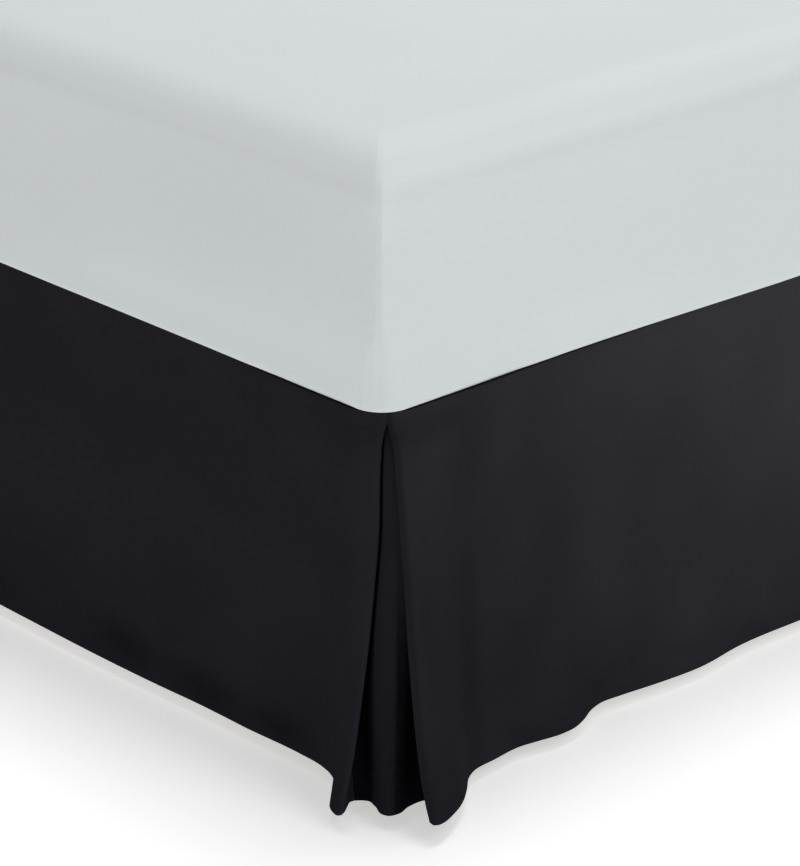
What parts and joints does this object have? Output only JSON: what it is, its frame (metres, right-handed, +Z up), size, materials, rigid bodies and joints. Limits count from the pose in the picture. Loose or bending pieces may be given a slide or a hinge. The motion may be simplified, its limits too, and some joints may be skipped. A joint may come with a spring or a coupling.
{
  "type": "bed skirt on a mattress and box spring bed",
  "caption": "Tailored black bed skirt hanging from under a mattress on a legged box spring, with an inverted pleat at each foot corner and an open head end.",
  "frame": {"origin": "middle of the centre leg's foot, on the floor under the middle of the bed", "axes": "+Z up, +Y from the foot end to the head end of the bed, +X across the bed to its right side seen from the foot"},
  "size_m": [1.6846, 2.0912, 0.6488],
  "materials": {
    "foot_panel_cloth": "matt black brushed microfibre with a soft sheen",
    "side_panel_right_cloth": "matt black brushed microfibre with a soft sheen",
    "side_panel_left_cloth": "matt black brushed microfibre with a soft sheen",
    "pleat_underlay_right_cloth": "matt black brushed microfibre",
    "pleat_underlay_left_cloth": "matt black brushed microfibre",
    "decking_cloth": "plain white woven decking cloth",
    "mattress_cover": "plain pale knitted cover",
    "box_spring_ticking": "plain woven ticking",
    "beech_leg": "satin lacquered beech"
  },
  "bodies": {
    "root": {"foot_panel": "foot_panel_cloth", "side_panel_right": "side_panel_right_cloth", "side_panel_left": "side_panel_left_cloth", "pleat_underlay_right": "pleat_underlay_right_cloth", "pleat_underlay_left": "pleat_underlay_left_cloth", "skirt_platform": "decking_cloth", "mattress": "mattress_cover", "box_spring": "box_spring_ticking", "leg_centre": "beech_leg", "leg_foot_right": "beech_leg", "leg_foot_left": "beech_leg", "leg_head_right": "beech_leg", "leg_head_left": "beech_leg"}
  },
  "joints": []
}
